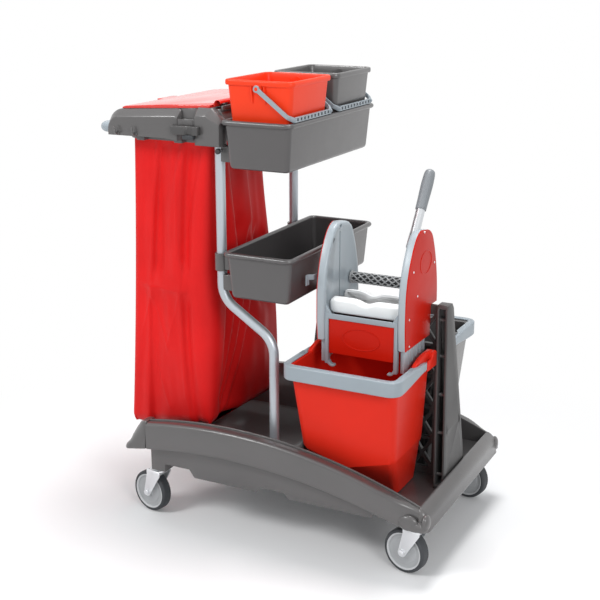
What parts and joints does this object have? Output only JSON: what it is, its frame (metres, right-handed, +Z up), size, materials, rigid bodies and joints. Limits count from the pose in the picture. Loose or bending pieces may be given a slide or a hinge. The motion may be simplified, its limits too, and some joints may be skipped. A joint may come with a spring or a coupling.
{
  "type": "janitor cart",
  "caption": "Wheeled cleaning cart with bag station and hinged lid, shelf trays, hand buckets, mop buckets and a lever wringer.",
  "frame": {"origin": "on the floor, under the middle of the cart's outline", "axes": "+Z up, +X towards the mop buckets, -X towards the push handle, -Y the side with the wringer"},
  "size_m": [0.827, 0.502, 1.0273],
  "materials": {
    "dark_plastic": "moulded matt",
    "pale_plastic": "moulded satin",
    "red_plastic": "moulded satin gloss",
    "bright_red_plastic": "moulded satin gloss",
    "white_plastic": "moulded matt",
    "rubber": "matt",
    "tube_steel": "satin silver",
    "zinc_steel": "bright zinc plate",
    "bag_cloth": "coated nylon",
    "wheel_plastic": "moulded satin",
    "black_plastic": "moulded"
  },
  "bodies": {
    "cart": {"deck": "dark_plastic", "side_rail_near": "dark_plastic", "side_rail_far": "dark_plastic", "corner_cap_near": "dark_plastic", "corner_cap_far": "dark_plastic", "end_rail": "dark_plastic", "castor_mounts": "zinc_steel", "post_near": "tube_steel", "post_far": "tube_steel", "tray_lower": "dark_plastic", "tray_upper": "dark_plastic", "tray_brackets_lower": "dark_plastic", "tray_brackets_upper": "dark_plastic", "holder_arm_near": "dark_plastic", "holder_arm_far": "dark_plastic", "holder_crossbar": "dark_plastic", "push_handle": "pale_plastic", "mop_clip": "dark_plastic", "clip_pad": "rubber", "bag_ring": "dark_plastic", "bag": "bag_cloth", "lid_pins": "zinc_steel", "divider": "dark_plastic", "mop_bucket_near": "red_plastic", "mop_bucket_far": "dark_plastic"},
    "lid": {"lid": "red_plastic"},
    "handle_near": {"bucket_handle_near": "pale_plastic"},
    "handle_far": {"bucket_handle_far": "pale_plastic"},
    "wringer": {"casing_left": "pale_plastic", "casing_right": "pale_plastic", "cover_left": "red_plastic", "cover_right": "red_plastic", "front_plate": "red_plastic", "wringer_crossbar": "pale_plastic", "catch_hook": "pale_plastic", "cover_screws": "zinc_steel", "jaw_front": "white_plastic"},
    "jaw": {"jaw_rear": "white_plastic"},
    "lever": {"press_shaft": "black_plastic", "lever_crank": "zinc_steel", "lever_tube": "zinc_steel", "lever_grip": "pale_plastic"},
    "hand_bucket_near": {"hand_bucket_near": "bright_red_plastic"},
    "hand_bucket_far": {"hand_bucket_far": "dark_plastic"},
    "bail_near": {"bail_near": "pale_plastic"},
    "bail_far": {"bail_far": "pale_plastic"},
    "castor_near_left": {"fork_near_left": "zinc_steel", "axle_near_left": "zinc_steel"},
    "wheel_near_left": {"wheel_near_left": "wheel_plastic"},
    "castor_near_right": {"fork_near_right": "zinc_steel", "axle_near_right": "zinc_steel"},
    "wheel_near_right": {"wheel_near_right": "wheel_plastic"},
    "castor_far_left": {"fork_far_left": "zinc_steel", "axle_far_left": "zinc_steel"},
    "wheel_far_left": {"wheel_far_left": "wheel_plastic"},
    "castor_far_right": {"fork_far_right": "zinc_steel", "axle_far_right": "zinc_steel"},
    "wheel_far_right": {"wheel_far_right": "wheel_plastic"}
  },
  "joints": [
    {"name": "swivel_near_left", "type": "hinge", "parent": "cart", "child": "castor_near_left", "pos_m": [-0.2775, -0.203, 0.112], "axis": [0, 0, 1], "continuous": true},
    {"name": "spin_near_left", "type": "hinge", "parent": "castor_near_left", "child": "wheel_near_left", "pos_m": [-0.2991, -0.1988, 0.05], "axis": [0.1908, 0.9816, 0], "continuous": true},
    {"name": "swivel_near_right", "type": "hinge", "parent": "cart", "child": "castor_near_right", "pos_m": [0.3725, -0.203, 0.112], "axis": [0, 0, 1], "continuous": true},
    {"name": "spin_near_right", "type": "hinge", "parent": "castor_near_right", "child": "wheel_near_right", "pos_m": [0.3509, -0.1988, 0.05], "axis": [0.1908, 0.9816, 0], "continuous": true},
    {"name": "swivel_far_left", "type": "hinge", "parent": "cart", "child": "castor_far_left", "pos_m": [-0.2775, 0.203, 0.112], "axis": [0, 0, 1], "continuous": true},
    {"name": "spin_far_left", "type": "hinge", "parent": "castor_far_left", "child": "wheel_far_left", "pos_m": [-0.2991, 0.2072, 0.05], "axis": [0.1908, 0.9816, 0], "continuous": true},
    {"name": "swivel_far_right", "type": "hinge", "parent": "cart", "child": "castor_far_right", "pos_m": [0.3725, 0.203, 0.112], "axis": [0, 0, 1], "continuous": true},
    {"name": "spin_far_right", "type": "hinge", "parent": "castor_far_right", "child": "wheel_far_right", "pos_m": [0.3509, 0.2072, 0.05], "axis": [0.1908, 0.9816, 0], "continuous": true},
    {"name": "lid_hinge", "type": "hinge", "parent": "cart", "child": "lid", "pos_m": [-0.1135, 0, 0.9709], "axis": [0, 1, 0], "range_deg": [0, 95]},
    {"name": "handle_near_fold", "type": "hinge", "parent": "cart", "child": "handle_near", "pos_m": [0.2075, -0.074, 0.4262], "axis": [-1, 0, 0], "range_deg": [0, 55]},
    {"name": "handle_far_fold", "type": "hinge", "parent": "cart", "child": "handle_far", "pos_m": [0.2075, 0.074, 0.4262], "axis": [1, 0, 0], "range_deg": [0, 85]},
    {"name": "wringer_lift", "type": "slide", "parent": "cart", "child": "wringer", "axis": [0, 0, 1], "range_m": [0, 0.28]},
    {"name": "lever_press", "type": "hinge", "parent": "wringer", "child": "lever", "pos_m": [0.2145, -0.017, 0.5853], "axis": [1, 0, 0], "range_deg": [0, 70]},
    {"name": "jaw_squeeze", "type": "hinge", "parent": "wringer", "child": "jaw", "pos_m": [0.2145, -0.066, 0.4873], "axis": [1, 0, 0], "range_deg": [0, 20]},
    {"name": "hand_bucket_near_lift", "type": "slide", "parent": "cart", "child": "hand_bucket_near", "axis": [0, 0, 1], "range_m": [0, 0.25]},
    {"name": "bail_near_swing", "type": "hinge", "parent": "hand_bucket_near", "child": "bail_near", "pos_m": [-0.0015, -0.108, 1.0103], "axis": [0, -1, 0], "range_deg": [0, 140]},
    {"name": "hand_bucket_far_lift", "type": "slide", "parent": "cart", "child": "hand_bucket_far", "axis": [0, 0, 1], "range_m": [0, 0.25]},
    {"name": "bail_far_swing", "type": "hinge", "parent": "hand_bucket_far", "child": "bail_far", "pos_m": [-0.0015, 0.108, 1.0103], "axis": [0, -1, 0], "range_deg": [0, 140]}
  ],
  "couplings": [
    {"joint": "jaw_squeeze", "follows": "lever_press", "ratio": 0.28571}
  ]
}
